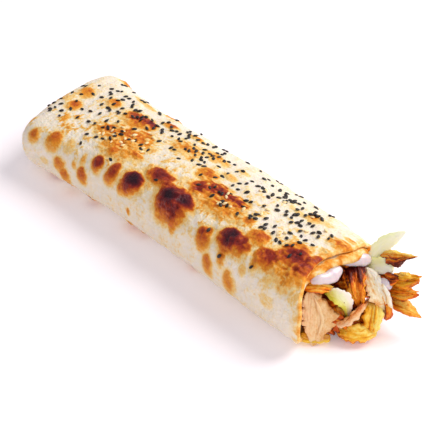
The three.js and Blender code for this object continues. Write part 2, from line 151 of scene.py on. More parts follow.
# Blisters and scorched patches: place along the roll in mm, place round it in degrees, length and
# breadth in mm, how deeply baked (0.2 pale gold, 0.45 gold, 0.65 red-brown, 0.95 charred) and how
# mottled.
BLISTERS = [
    (-119, 155, 9, 10, 0.47, 0.1), (-103, 147, 12, 14, 0.5, 0.1), (-90, 145, 8, 8, 0.28, 0.5),
    (-109, 182, 6, 5, 0.2, 0.3), (-95, 180, 10, 12, 0.46, 0.1), (-91, 188, 9, 14, 0.46, 0.1),
    (-82, 169, 4, 6, 0.36, 0.1), (-76, 155, 4, 8, 0.34, 0.1), (-75, 178, 9, 12, 0.54, 0.1),
    (-64, 148, 10, 11, 0.7, 0.1), (-50, 148, 10, 14, 0.64, 0.1), (-52, 159, 9, 9, 0.5, 0.1),
    (-34, 144, 18, 13, 0.99, 0.1), (-36, 155, 16, 11, 0.66, 0.2), (-41, 164, 6, 8, 0.5, 0.1),
    (-20, 118, 23, 12, 0.74, 0.2), (-10, 124, 15, 9, 0.64, 0.2), (-3, 141, 23, 23, 0.84, 0.15),
    (-4, 136, 16, 14, 1.0, 0.1), (4, 149, 19, 14, 0.76, 0.2), (6, 165, 6, 14, 0.5, 0.1),
    (-8, 163, 5, 9, 0.45, 0.1), (-33, 183, 3, 6, 0.46, 0.1), (-120, 84, 12, 9, 0.45, 0.2),
    (-116, 94, 10, 8, 0.5, 0.2), (-97, 80, 12, 9, 0.46, 0.2), (-84, 48, 20, 5, 0.3, 0.3),
    (-71, 83, 24, 15, 0.66, 0.4), (-63, 80, 15, 9, 0.82, 0.4), (-79, 101, 16, 10, 0.52, 0.6),
    (-66, 99, 30, 18, 0.5, 0.8), (-55, 95, 26, 18, 0.48, 0.8), (-60, 121, 9, 8, 0.5, 0.2),
    (-66, 110, 13, 10, 0.38, 0.8), (-46, 110, 13, 5, 0.5, 0.3), (-52, 65, 14, 6, 0.54, 0.2),
    (-31, 62, 14, 5, 0.44, 0.3), (-26, 83, 24, 13, 0.42, 0.8), (-5, 106, 8, 6, 0.2, 0.2),
    (6, 104, 14, 12, 0.7, 0.4), (16, 97, 24, 13, 0.72, 0.6), (30, 97, 20, 10, 0.72, 0.5),
    (22, 107, 20, 10, 0.5, 0.7), (37, 110, 24, 11, 0.38, 0.7), (49, 108, 9, 7, 0.48, 0.3),
    (32, 157, 12, 13, 0.54, 0.2), (30, 150, 9, 8, 0.62, 0.2), (38, 182, 9, 15, 0.46, 0.1),
    (49, 138, 18, 14, 0.92, 0.2), (57, 137, 17, 12, 0.72, 0.3), (49, 163, 7, 16, 0.48, 0.2),
    (56, 185, 10, 17, 0.4, 0.1), (66, 162, 5, 6, 0.3, 0.2), (87, 178, 9, 8, 0.16, 0.2),
    (63, 117, 16, 10, 0.56, 0.3), (77, 131, 18, 12, 0.66, 0.3), (73, 142, 7, 11, 0.45, 0.3),
    (91, 114, 26, 14, 0.78, 0.3), (98, 122, 14, 13, 0.68, 0.3), (97, 134, 12, 15, 0.46, 0.5),
    (85, 137, 7, 17, 0.38, 0.5), (75, 66, 17, 5, 0.24, 0.4), (99, 77, 13, 5, 0.4, 0.6),
    (60, 73, 13, 4, 0.24, 0.4), (100, 93, 11, 6, 0.3, 0.6), (6, 131, 19, 11, 0.92, 0.15),
    (1, 90, 17, 12, 0.5, 0.4), (-9, 72, 19, 8, 0.36, 0.6), (11, 82, 11, 5, 0.32, 0.2),
    (13, 69, 9, 4, 0.3, 0.2), (24, 114, 32, 10, 0.46, 0.8), (100, 107, 9, 11, 0.62, 0.3),
    (87, 103, 18, 9, 0.5, 0.4), (99, 82, 17, 8, 0.5, 0.7), (99, 68, 9, 4, 0.36, 0.5),
    (71, 69, 11, 8, 0.38, 0.3), (-58, 112, 30, 16, 0.46, 0.85), (94, 130, 22, 16, 0.5, 0.6),
]
HIDDEN_BLISTERS, HIDDEN_ALONG, HIDDEN_ROUND, HIDDEN_MOTTLED = 34, (-125, 95), (-145, 20), 0.3
hidden_side = random.Random(11)
for _ in range(HIDDEN_BLISTERS):
    middle = (hidden_side.uniform(*HIDDEN_ALONG), hidden_side.uniform(*HIDDEN_ROUND))
    length = hidden_side.uniform(5, 15)
    breadth, tone = length * hidden_side.uniform(0.6, 1), hidden_side.uniform(0.3, 0.8)
    BLISTERS.append((*middle, length, breadth, tone, HIDDEN_MOTTLED))

# The crust's own noise: size of its marks in mm, and where the dough browns without a blister,
# which is most on the shoulder between the top and the front.
COARSE_MARK, RAGGED_MARK, FINE_MARK, STREAK_MARK, STREAK_DRAWN_OUT = 9.0, 3.6, 1.5, 1.7, 0.35
BARE_TOAST, FLECK_TOAST, GILT_TOAST, SHOULDER_TOAST = 0.03, 0.08, 0.05, 0.2
SHOULDER_TURN, SHOULDER_SPREAD = 118, 36
COARSE_BUMP, RAGGED_BUMP, FINE_BUMP = 0.55, 0.42, 0.16
BLISTER_RISE, BLISTER_WRINKLE, FULL_RISE_LENGTH = 1.0, 1.1, 11


def baked_look(x, angle_deg):
    """How deeply each point of the crust is baked, and how far its bubbles stand up in mm."""
    girth = girth_at(angle_deg)
    coarse = noise_over(x, girth, COARSE_MARK, 1.3)
    ragged = noise_over(x, girth, RAGGED_MARK, 4.7)
    fine = noise_over(x, girth, FINE_MARK, 8.2)
    streaks = noise_over(x * STREAK_DRAWN_OUT, girth, STREAK_MARK, 6.1)
    shoulder = np.exp(-(((angle_deg - SHOULDER_TURN) / SHOULDER_SPREAD) ** 2))
    gilt = ramp_between(ragged + 0.6 * fine + 0.5 * coarse, -0.1, 0.6)
    toast = BARE_TOAST + FLECK_TOAST * ramp_between(fine + coarse, 0.0, 0.7)
    toast = toast + (GILT_TOAST + SHOULDER_TOAST * shoulder) * gilt
    bubble = COARSE_BUMP * coarse + RAGGED_BUMP * ragged + FINE_BUMP * fine
    for place, turn, length, breadth, tone, mottled in BLISTERS:
        near = np.abs(x - place) < length * 1.3
        along = (x[near] - place) / (length / 2)
        across = (girth[near] - girth_at(turn)) / (breadth / 2)
        uneven = 0.22 * coarse[near] + (0.12 + 0.2 * mottled) * ragged[near] + mottled * 0.6 * streaks[near]
        edge = np.sqrt(along**2 + across**2) + uneven
        heart = 1 - ramp_between(np.sqrt(along**2 + (across + 0.3) ** 2) + uneven, 0.1, 1.25)
        inside = 1 - ramp_between(edge, 0.88, 1.12)
        halo = (0.18 + 0.12 * tone) * (1 - ramp_between(edge, 0.85, 1.75))
        paler_edge = (0.2 + 0.4 * tone) * (1 - heart)
        depth = tone * (1 - paler_edge)
        pale_specks = 0.35 * ramp_between(fine[near], 0.0, 0.4) + 0.45 * ramp_between(streaks[near], 0, 0.4)
        depth *= 1 - mottled * pale_specks
        toast[near] = np.maximum(toast[near], np.maximum(inside * depth, halo))
        dome = np.clip(1 - edge**2, 0, 1) ** 0.6
        rise = (0.35 + BLISTER_RISE * tone) * min(1, length / FULL_RISE_LENGTH) * (1 - 0.7 * mottled)
        wrinkles = 0.5 * ragged[near] + 0.25 * fine[near] + mottled * streaks[near]
        bubble[near] += rise * dome
        bubble[near] += BLISTER_WRINKLE * tone * wrinkles * (1 - ramp_between(edge, 0.8, 1.2))
    return toast, bubble


# The sheet is a flat grid first. Its rows run from the tuck along the crust to the mouth, round
# the lip and back along the inside, so that it closes on itself. Its columns run from the inner
# edge over the top and the back, under the base and round once more to the seam. The tuck's rows
# have their distance inwards and how far they are pressed shut.
TUCK_ROWS = [(6.0, 1.0), (4.2, 0.8), (2.6, 0.55), (1.3, 0.3), (0.4, 0.1)]
ROUND_ROWS, STRAIGHT_ROWS, LIP_ROWS, INSIDE_ROWS = 16, 318, 8, 36
INSIDE_CROWDING = 1.6
TURN_STOPS = [INNER_EDGE_TURN, -30, -70, -120, -170, -330, SEAM_TURN]
TURN_COLUMNS = [44, 10, 10, 24, 132, 20]
INNER_LAYER_START, INNER_END_SHARE = TUCKED_END + 12, 0.04


def sheet_rows():
    """For each row: x of the rounded end, share of the straight run, closing, depth and lip."""
    end = [(TUCKED_END + inward, 0.0, closing) for inward, closing in TUCK_ROWS]
    for step in range(ROUND_ROWS):
        swing = math.cos(math.pi / 2 * step / ROUND_ROWS) ** (2 / END_POWER)
        end.append((TUCKED_END + END_ROUNDING * (1 - swing), 0.0, 0.0))
    outside = [(STRAIGHT_START, step / STRAIGHT_ROWS, 0.0) for step in range(STRAIGHT_ROWS + 1)]
    inside_runs = [1 - (step / INSIDE_ROWS) ** INSIDE_CROWDING for step in range(INSIDE_ROWS)]
    inside = [(STRAIGHT_START, run, 0.0) for run in inside_runs]
    lip = []
    for step in range(1, LIP_ROWS):
        swing = math.pi * step / LIP_ROWS
        lip.append((STRAIGHT_START, 1.0, 0.0, (1 - math.cos(swing)) / 2, math.sin(swing) / 2))
    crust_rows = [(*row, 0.0, 0.0) for row in end + outside]
    inside_rows = [(*row, 1.0, 0.0) for row in inside + end[::-1]]
    return np.array(crust_rows + lip + inside_rows)


def sheet_turns():
    """The angle in degrees of each column, evenly spaced by girth between the stops."""
    turns = [INNER_EDGE_TURN]
    for start, stop, columns in zip(TURN_STOPS, TURN_STOPS[1:], TURN_COLUMNS):
        girths = np.interp([start, stop], TABLE_TURNS, TABLE_GIRTHS)
        even = np.linspace(girths[0], girths[1], columns + 1)[1:]
        turns.extend(np.interp(even, TABLE_GIRTHS, TABLE_TURNS))
    return np.array(turns)


rows, turns = sheet_rows(), sheet_turns()
sheet = bmesh.new()
bmesh.ops.create_grid(sheet, x_segments=len(rows) - 1, y_segments=len(turns) - 1, size=0.5)
toast_layer = sheet.verts.layers.float.new("toast")
flat = np.array([vert.co[:2] for vert in sheet.verts]) + 0.5
row = np.rint(flat[:, 0] * (len(rows) - 1)).astype(int)
turn = turns[np.rint(flat[:, 1] * (len(turns) - 1)).astype(int)]
angle = np.radians(turn)
end_x, run, closing, depth, lip_out = rows[row].T

# Where the sheet has passed under itself (under = 1) it is the inner layer. The outer layer dips
# just before that. At the mouth the inner layer swells into a lip and reaches out past the outer
# rim. The sheet thins out to nothing at the seam and at its inner edge.
LAYER_DIP, LIP_SWELL, WALL_THINNING = 1.3, 1.7, 0.3
INNER_RIM_OUT, INNER_RIM_BACK = 2.8, 7.5
SEAM_TAPER, INNER_EDGE_TAPER = 6, 8
under = ramp_between(turn, -36, -24)
dip = LAYER_DIP * ramp_between(turn, -68, -37) * (1 - under)
layer_inset = dip + (SHEET_THICKNESS + LAYER_GAP) * under
near_mouth = ramp_between(run, 0.86, 1.0)
thickness = SHEET_THICKNESS + (LIP_SWELL * under - WALL_THINNING * (1 - under)) * near_mouth
thickness *= ramp_between(turn, SEAM_TURN, SEAM_TURN + SEAM_TAPER) ** 0.5
thickness *= ramp_between(-turn, -INNER_EDGE_TURN, -INNER_EDGE_TURN + INNER_EDGE_TAPER) ** 0.5
thickness *= np.where(closing >= 1.0, 0.0, 1.0)
drawn_back = ramp_between(turn, 104, 140)
rim = rim_at(angle) + (INNER_RIM_OUT - INNER_RIM_BACK * drawn_back) * under
crust_x = end_x + run * (rim - STRAIGHT_START)
end_share = (end_x - TUCKED_END) / END_ROUNDING * (run == 0) * (closing == 0)
inner_share = INNER_END_SHARE * (end_share + (run > 0)) + run * (1 - INNER_END_SHARE)
inner_x = INNER_LAYER_START + inner_share * (rim - INNER_LAYER_START)
x = crust_x + (inner_x - crust_x) * under + lip_out * thickness
closing = closing * (1 - under)

# The crust is baked all over. The lip, the cut edge and the pressed tuck are gilded on top of it.
LIP_TOAST, CUT_TOAST, WALL_EDGE_TOAST, TUCK_TOAST, LIP_PUFF = 0.27, 0.27, 0.2, 0.24, 0.9
shown = (depth < 0.6) & (turn < -20)
toast, bubble = np.zeros(len(x)), np.zeros(len(x))
toast[shown], bubble[shown] = baked_look(x[shown], np.where(turn < SEAM_ANGLE, turn + 360, turn)[shown])
girth = np.interp(turn, TABLE_TURNS, TABLE_GIRTHS)
puffs = noise_over(x, girth, 3.1, 2.5)
lip_gold = LIP_TOAST + 0.24 * puffs + 0.16 * noise_over(x, girth, 1.4, 9.1)
inner_lip = ramp_between(run, 0.9, 0.97) * ramp_between(turn, -60, 0)
toast = np.maximum(toast, inner_lip * lip_gold)
cut_edge = (depth > 0) * ramp_between(run, 0.97, 1.0) * (1 - under)
toast = np.maximum(toast, cut_edge * (CUT_TOAST + 0.14 * puffs))
wall_edge = ramp_between(run, 0.965, 1.0) * (depth <= 0) * (1 - under)
toast = np.maximum(toast, wall_edge * (WALL_EDGE_TOAST + 0.2 * puffs))
toast = np.maximum(toast, np.where(closing > 0, TUCK_TOAST + 0.3 * puffs, 0.0))
bubble = np.where(shown, bubble, 0.0) + inner_lip * LIP_PUFF * puffs
bubble *= np.where(closing > 0, 0.3, 1.0)

inset = layer_inset + thickness * depth - bubble * (1 - depth) * (thickness > 0.5)
placed = roll_surface(x, angle, inset, closing)
for vert, spot, tone in zip(sheet.verts, placed * MM, toast):
    vert.co = spot
    vert[toast_layer] = tone


def knit(line):
    """Cuts the inside's long edges at the crust's points, so that the two skins join at an edge."""
    end_rows = len(TUCK_ROWS) + ROUND_ROWS
    crust_line = line[end_rows - 1:end_rows + STRAIGHT_ROWS + 1]
    inside_line = line[-end_rows - INSIDE_ROWS - 1:len(line) - end_rows + 1][::-1]
    crust_along = np.array([point.co.x for point in crust_line])
    stops = [int(np.abs(crust_along - point.co.x).argmin()) for point in inside_line]
    for start, stop, low, high in zip(inside_line, inside_line[1:], stops, stops[1:]):
        edge = sheet.edges.get((start, stop))
        start.co = crust_line[low].co
        for point in crust_line[low + 1:high]:
            start = bmesh.utils.edge_split(edge, start, 0.5)[1]
            start.co = point.co
            start[toast_layer] = point[toast_layer]


for edge_turn in (INNER_EDGE_TURN, turns[-1]):
    edge_points = [(number, vert) for number, vert, at in zip(row, sheet.verts, turn) if at == edge_turn]
    knit([vert for number, vert in sorted(edge_points, key=lambda pair: pair[0])])
bmesh.ops.remove_doubles(sheet, verts=sheet.verts, dist=0.001 * MM)


def face_outwards(shape):
    """Turns the faces of one closed shape outwards."""
    bmesh.ops.recalc_face_normals(shape, faces=shape.faces)
    if shape.calc_volume(signed=True) < 0:
        bmesh.ops.reverse_faces(shape, faces=shape.faces)


face_outwards(sheet)


def finished_piece(name, shape, material, slot, *nodes):
    """Turns a finished shape into a piece that rides on the wrap and stands for its nodes."""
    for face in shape.faces:
        face.smooth = True
    mesh = bpy.data.meshes.new(name)
    shape.to_mesh(mesh)
    shape.free()
    mesh.materials.append(material)
    piece = bpy.data.objects.new(name, mesh)
    bpy.context.scene.collection.objects.link(piece)
    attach(piece, "root")
    if nodes:
        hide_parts(*nodes)


def add_to(shape, part):
    """Adds a finished part to a shape."""
    carrier = bpy.data.meshes.new("carrier")
    part.to_mesh(carrier)
    part.free()
    shape.from_mesh(carrier)
    bpy.data.meshes.remove(carrier)


def seen(red, green, blue):
    """A colour as the eye reads it, 0 to 255, in the shader's own units."""
    shares = [value / 255 for value in (red, green, blue)]
    return tuple(s / 12.92 if s <= 0.04045 else ((s + 0.055) / 1.055) ** 2.4 for s in shares)


def new_material(name, roughness, subsurface=0.0, spread=0.003, coat=0.0):
    """A material with its shader, ready for a colour and a relief."""
    material = bpy.data.materials.new(name)
    material.use_nodes = True
    shader = material.node_tree.nodes["Principled BSDF"]
    shader.inputs["Roughness"].default_value = roughness
    shader.inputs["Subsurface Weight"].default_value = subsurface
    shader.inputs["Subsurface Radius"].default_value = (1.0, 0.45, 0.2)
    shader.inputs["Subsurface Scale"].default_value = spread
    shader.inputs["Coat Weight"].default_value = coat
    shader.inputs["Coat Roughness"].default_value = 0.2
    return material, material.node_tree.nodes, material.node_tree.links, shader


def grain(nodes, links, size_mm, detail=3.0, along=None, stretch=1.0):
    """Noise in the object's own space with marks of that size, drawn out along a direction."""
    mapping = nodes.new("ShaderNodeMapping")
    mapping.vector_type = "TEXTURE"
    if along is not None:
        mapping.inputs["Rotation"].default_value = Vector(along).to_track_quat("X", "Z").to_euler()
        mapping.inputs["Scale"].default_value = (stretch, 1, 1)
    texture = nodes.new("ShaderNodeTexNoise")
    texture.inputs["Scale"].default_value = 1 / (size_mm * MM)
    texture.inputs["Detail"].default_value = detail
    links.new(nodes.new("ShaderNodeTexCoord").outputs["Object"], mapping.inputs["Vector"])
    links.new(mapping.outputs["Vector"], texture.inputs["Vector"])
    return texture.outputs["Fac"]


def colour_steps(nodes, links, value, stops):
    """Colours along a value, from (place, colour) pairs."""
    steps = nodes.new("ShaderNodeValToRGB")
    elements = steps.color_ramp.elements
    while len(elements) < len(stops):
        elements.new(0.5)
    for element, (place, colour) in zip(elements, stops):
        element.position = place
        element.color = (*seen(*colour), 1)
    links.new(value, steps.inputs["Fac"])
    return steps.outputs["Color"]


def with_noise(nodes, links, value, extra, weight):
    """The value with that much noise added, as much up as down."""
    scaled = nodes.new("ShaderNodeMath")
    scaled.operation = "MULTIPLY_ADD"
    links.new(extra, scaled.inputs[0])
    scaled.inputs[1].default_value = weight
    scaled.inputs[2].default_value = -weight / 2
    total = nodes.new("ShaderNodeMath")
    links.new(value, total.inputs[0])
    links.new(scaled.outputs[0], total.inputs[1])
    return total.outputs[0]


def attribute(nodes, name):
    """A number that the mesh holds at each of its points."""
    reader = nodes.new("ShaderNodeAttribute")
    reader.attribute_name = name
    return reader.outputs["Fac"]


def raised(nodes, links, shader, height, strength, depth_mm):
    """Gives the shader a fine relief."""
    bump = nodes.new("ShaderNodeBump")
    bump.inputs["Strength"].default_value = strength
    bump.inputs["Distance"].default_value = depth_mm * MM
    links.new(height, bump.inputs["Height"])
    links.new(bump.outputs["Normal"], shader.inputs["Normal"])


def baked_dough():
    """Pale floury dough that turns gold, red-brown and then nearly black where it bakes."""
    material, nodes, links, shader = new_material("baked_dough", 0.6, subsurface=0.08)
    shader.inputs["Specular IOR Level"].default_value = 0.25
    level = with_noise(nodes, links, attribute(nodes, "toast"), grain(nodes, links, 1.1), 0.2)
    level = with_noise(nodes, links, level, grain(nodes, links, 3.5), 0.16)
    colour = colour_steps(nodes, links, level, [
        (0.0, (248, 237, 222)),
        (0.12, (249, 231, 197)),
        (0.22, (247, 207, 128)),
        (0.34, (236, 154, 40)),
        (0.48, (202, 96, 14)),
        (0.62, (150, 44, 22)),
        (0.78, (98, 20, 28)),
        (0.95, (46, 12, 26)),
    ])
    links.new(colour, shader.inputs["Base Color"])
    gloss = nodes.new("ShaderNodeMapRange")
    gloss.inputs["From Min"].default_value = 0.2
    gloss.inputs["From Max"].default_value = 0.7
    gloss.inputs["To Min"].default_value = 0.66
    gloss.inputs["To Max"].default_value = 0.32
    links.new(level, gloss.inputs["Value"])
    links.new(gloss.outputs["Result"], shader.inputs["Roughness"])
    raised(nodes, links, shader, grain(nodes, links, 1.5, 5), 0.75, 1.0)
    return material


finished_piece("flatbread_roll", sheet, baked_dough(), "flatbread", "flatbread")

# ------------------------------------------------------------------ the sesame seeds
# Black sesame, and a few pale seeds, strewn over the wet dough before it was baked, so that they
# stick in its surface. Most lie on the top, in drifts. Each is a flat drop about 3.4 mm long.

# A drift is its middle in mm and degrees, its length in mm, its breadth in degrees and its count.
# TOUCHING is the share of seeds that touch the one before.
SEED_LENGTH, SEED_BREADTH, SEED_HEIGHT = 3.4, 2.0, 1.1
SEED_TAPER, SEED_LIFT, SEED_LEAN = 0.45, 0.28, 0.1
BLACK_DRIFTS = [
    (-121, 92, 16, 44, 17), (-98, 82, 28, 44, 27), (-75, 92, 24, 52, 24), (-53, 82, 22, 36, 17),
    (-32, 76, 22, 34, 20), (-14, 74, 18, 30, 20), (8, 82, 24, 46, 16), (30, 84, 22, 52, 24),
    (50, 82, 20, 52, 25), (68, 84, 20, 50, 24), (84, 96, 14, 40, 13), (-20, 44, 190, 16, 22),
]
BLACK_SINGLES = [(33, 142), (48, 163), (72, 150), (-84, 132), (-57, 132), (-20, 124)]
PALE_DRIFTS = [(-66, 103, 22, 18, 12), (-52, 92, 22, 14, 7), (30, 104, 22, 14, 6), (60, 84, 60, 34, 10)]
TOUCHING, TOUCH_ALONG, TOUCH_ROUND = 0.3, 3, 5
SPOTS_TRIED, MM_PER_DEGREE = 6, 0.6
STEP_ALONG, STEP_ROUND = 0.6, 1.0


def drift_places(drifts, dice):
    """Places of scattered seeds, each clear of the others or, now and then, touching the last."""
    places = []
    for x, angle_deg, length, breadth, count in drifts:
        for number in range(count):
            beside = dice.uniform(0, 2 * math.pi)
            if number % 3 == 2 and dice.random() < 3 * TOUCHING:
                last_x, last_turn = places[-1]
                spot = (last_x + TOUCH_ALONG * math.cos(beside), last_turn + TOUCH_ROUND * math.sin(beside))
            else:
                tries = [(dice.uniform(-0.5, 0.5), dice.uniform(-0.5, 0.5)) for _ in range(SPOTS_TRIED)]
                spots = [(x + length * along, angle_deg + breadth * across) for along, across in tries]
                spot = max(spots, key=lambda at: nearest_seed(at, places))
            places.append(spot)
    return places


def nearest_seed(spot, places):
    """How far the nearest seed lies from a spot, in about mm."""
    away = [math.hypot(x - spot[0], (turn - spot[1]) * MM_PER_DEGREE) for x, turn in places]
    return min(away, default=0.0)


def seeds_on_crust(places, dice, size):
    """One mesh of seeds, each lying flat on the crust and turned any way."""
    x, angle_deg = np.array(places).T
    xs = np.concatenate([x, x + STEP_ALONG, x])
    angles = np.concatenate([angle_deg, angle_deg, angle_deg + STEP_ROUND])
    points = roll_surface(xs, np.radians(angles), -baked_look(xs, angles)[1])
    spots, further, beside = np.split(points, 3)
    out = np.cross(beside - spots, further - spots)
    out /= np.linalg.norm(out, axis=1)[:, None]
    seeds = bmesh.new()
    for spot, normal in zip(spots, out):
        if normal[2] < 0:
            normal = -normal
        drop = bmesh.new()
        bmesh.ops.create_uvsphere(drop, u_segments=8, v_segments=6, radius=0.5)
        scale = size * dice.uniform(0.85, 1.12)
        for vert in drop.verts:
            taper = 1 - SEED_TAPER * max(vert.co.x * 2, 0) ** 1.5
            breadth, height = SEED_BREADTH * taper, SEED_HEIGHT * taper
            drawn_out = Vector((vert.co.x * SEED_LENGTH, vert.co.y * breadth, vert.co.z * height))
            vert.co = drawn_out * scale * MM
        leaning = Vector(normal) + Vector((dice.gauss(0, SEED_LEAN), dice.gauss(0, SEED_LEAN), 0))
        heading = Matrix.Rotation(dice.uniform(0, 2 * math.pi), 4, "Z")
        upright = leaning.to_track_quat("Z", "Y").to_matrix().to_4x4()
        centre = Vector(spot + normal * SEED_HEIGHT * SEED_LIFT) * MM
        drop.transform(Matrix.Translation(centre) @ upright @ heading)
        add_to(seeds, drop)
    return seeds


def seed_skin(name, dark, light, roughness):
    """The matt, faintly ribbed skin of a seed."""
    material, nodes, links, shader = new_material(name, roughness)
    colour = colour_steps(nodes, links, grain(nodes, links, 1.2), [(0.3, dark), (0.75, light)])
    links.new(colour, shader.inputs["Base Color"])
    raised(nodes, links, shader, grain(nodes, links, 0.3), 0.3, 0.1)
    return material


seed_dice = random.Random(5)
black_places = drift_places(BLACK_DRIFTS, seed_dice) + BLACK_SINGLES
black_seeds = seeds_on_crust(black_places, seed_dice, 1.0)
black_skin = seed_skin("black_sesame", (16, 11, 12), (46, 32, 28), 0.5)
finished_piece("sesame_seeds_black", black_seeds, black_skin, "flatbread")
pale_seeds = seeds_on_crust(drift_places(PALE_DRIFTS, seed_dice), seed_dice, 0.95)
pale_skin = seed_skin("pale_sesame", (250, 214, 140), (255, 240, 196), 0.4)
finished_piece("sesame_seeds_pale", pale_seeds, pale_skin, "flatbread")

# ------------------------------------------------------------------ the chicken
# Roasted chicken, sliced and torn into strips along its fibres: slices with a pale cut face and a
# browned edge, golden strips whose ends fray, and chunks. They stick out of the mouth, each lying
# on the next.

# Paths run from inside the roll to the free end, in mm. The outline is how far a piece reaches to
# its left and right, at even places along the path. Its broad side looks TOWARDS the viewer, or the
# way of "facing". The higher "boxy" is, the squarer it is across. "seed" picks its noise, "fray",
# "ragged" and "fibre" say how torn its ends, edges and face are, and "fibre" also how much painted
# shade its creases and painted highlight its raised fibres get. "strands" is its number of loose
# strands, and "seared" is how browned it is, towards which side and by how much more, and on the
# chunks it is painted shade as well. "charred" darkens the end inside the roll.
FRONT = (0.75, -0.6, 0.3)
TOWARDS = (0.6, -0.55, 0.6)
CHICKEN = {
    "chicken_slice_front": {
        "path": [(110, -20.5, 0.5), (108.5, -16.5, 11), (105.5, -15.5, 20.5), (103, -16, 29.5)],
        "outline": [(1, 2.6), (5.5, 4.4), (7.6, 9.6), (8.4, 10.4), (7.6, 7), (6.3, 4.7), (3.7, 2.6)],
        "thick": 5, "facing": FRONT, "boxy": 5, "seed": 1.2, "fray": 1, "fibre": 0.4, "strands": 1,
        "looks": "cut", "seared": (0.16, (0.1, 1, 0.1), 0.2),
    },
    "chicken_slice_centre": {
        "path": [(99, 17, 30.5), (107.5, 12, 31), (114.5, 7, 27.5), (118, 6, 19.5)],
        "outline": [(5, 6), (5.2, 8.4), (3.8, 7.6), (3.4, 5.4), (2.4, 3.2)],
        "thick": 7, "boxy": 4, "seed": 2.4, "fray": 1.8, "fibre": 0.9,
        "looks": "gold", "seared": (0.24, (-0.5, 0.1, 1), 0.2), "charred": 0.65,
    },
    "chicken_slice_pale": {
        "path": [(106.5, 18, 30.5), (115.5, 15.5, 30.5), (123, 14.5, 26), (126.5, 16, 18.5), (126.5, 18, 10)],
        "outline": [(1.6, 2), (3.7, 5.8), (3.6, 6.8), (2.1, 4.2), (0.8, 0.8)],
        "thick": 5, "boxy": 4, "seed": 4.1, "fray": 1.2, "fibre": 0.6, "strands": 3,
        "looks": "pale", "seared": (0.14, (-0.4, -1, -0.5), 0.3),
    },
    "chicken_strip_front": {
        "path": [(94, -17.5, 29), (100, -15.5, 31.5), (104.5, -11.5, 32), (106.5, -5.5, 28.5)],
        "outline": [(2, 2), (2.6, 2.8), (2.8, 3.2), (1.6, 1.6)],
        "thick": 6, "seed": 0.4, "fray": 0.8,
        "looks": "gold", "seared": (0.24, (0, 0, -1), 0.34),
    },
    "chicken_curl_low": {
        "path": [(113.5, -9, 9.5), (118.5, -5.5, 12.5), (121, -2, 16.5), (120, 5, 18.5), (117, 11.5, 17)],
        "outline": [(1.6, 1.4), (2, 2), (2.3, 2.2), (2, 1.6), (1, 1)],
        "thick": 6, "seed": 6, "fray": 0.8, "fibre": 0.3, "strands": 1,
        "looks": "pink", "seared": (0.14, (-0.3, 0, 1), 0.3),
    },
    "chicken_chunk_low": {
        "path": [(113.5, -5.5, 3.6), (120.5, -3, 4.8), (125.5, 1.5, 4.8), (126, 9.5, 3.2)],
        "outline": [(3.4, 1.8), (5.6, 3.8), (6, 3.9), (5, 2.8), (2.4, 1.6)],
        "thick": 9, "boxy": 5, "seed": 0.8, "fray": 0.8, "fibre": 0.7, "strands": 2,
        # Its seared side is painted shade: the left, near and under faces are darker where shade falls.
        "looks": "yellow", "seared": (0.32, (-0.6, -0.6, -0.6), 0.3),
    },
    "chicken_chunk_side": {
        "path": [(116, 15.5, 15), (123, 10, 14.5), (125.5, 7, 11), (124.5, 7, 4)],
        "outline": [(4, 3), (5.2, 4.7), (4.9, 4.7), (3, 3)],
        "thick": 9, "boxy": 5, "seed": 3.7, "fray": 0.8, "fibre": 0.7, "strands": 2,
        # Its seared side is painted shade and highlight: the top is lighter, the near and lower faces darker.
        "looks": "yellow", "seared": (0.18, (-0.6, -0.8, -0.4), 0.3),
    },
    "chicken_strip_top": {
        "path": [(106.5, 27.5, 32.5), (114, 27, 38), (121.5, 26, 41), (127.5, 26, 45), (137, 26, 51)],
        "outline": [(0.8, 0.8), (2.1, 1.3), (3.9, 4.4), (3.7, 3.9), (1.6, 1.8), (0.2, 0.2)],
        "thick": 5, "seed": 5.5, "fray": 1.2, "ragged": 0.25, "fibre": 0.7, "strands": 3,
        "looks": "gold", "seared": (0.42, (0.4, -0.6, -0.9), 0.7),
    },
    "chicken_strip_brown": {
        "path": [(106.5, 23, 25), (116, 23, 28.5), (123.5, 22.5, 31), (128.5, 25.5, 33)],
        "outline": [(1, 1), (1.9, 2.9), (2.4, 3.1), (0.4, 0.4)],
        "thick": 5, "seed": 0.2, "fray": 1.6,
        "looks": "gold", "seared": (0.5, (0, 0, 1), 0.45),
    },
    "chicken_strip_forked": {
        "path": [(115.5, 26, 21.5), (123, 26, 27), (130.5, 26, 31.5), (137, 27.5, 36)],
        "outline": [(2.6, 2.6), (4, 3.4), (4.6, 4.6), (1.6, 2.2)],
        "thick": 5, "seed": 3.3, "fray": 3.5, "ragged": 0.25, "fibre": 0.7, "strands": 3,
        "looks": "yellow", "seared": (0.36, (0, 0, -1), 0.3),
    },
    "chicken_strip_middle": {
        "path": [(115.5, 24.5, 17), (124.5, 24.5, 21.5), (131.5, 25, 24.5), (136.5, 27.5, 26.5)],
        "outline": [(2.4, 2.4), (3.4, 3.6), (4, 4), (1.6, 1.6)],
        "thick": 5, "seed": 1.6, "fray": 2.6, "ragged": 0.25, "fibre": 0.7, "strands": 3,
        "looks": "gold", "seared": (0.34, (0, 0, -1), 0.3),
    },
    "chicken_strip_low": {
        "path": [(116.5, 25, 13), (126, 24, 16), (134, 24.5, 16.5), (141.6, 27.5, 13)],
        "outline": [(2.2, 2), (3.4, 3.4), (4.2, 3.8), (2.8, 2.4), (0.3, 0.3)],
        "thick": 5, "seed": 4.4, "fray": 1, "ragged": 0.2, "fibre": 0.7, "strands": 3,
        "looks": "gold", "seared": (0.42, (0, 0, -1), 0.3),
    },
    "chicken_skin_strip": {
        "path": [(125, 15, 22), (128.5, 15, 18.5), (129, 16, 14), (126.5, 16.5, 8.5)],
        "outline": [(0.8, 0.8), (1, 1), (1.1, 1.3), (0.8, 1)],
        "thick": 3, "seed": 2.2, "fray": 0.8, "fibre": 0.4,
        "looks": "gold", "seared": (0.44, (0, 0, -1), 0.25),
    },
}
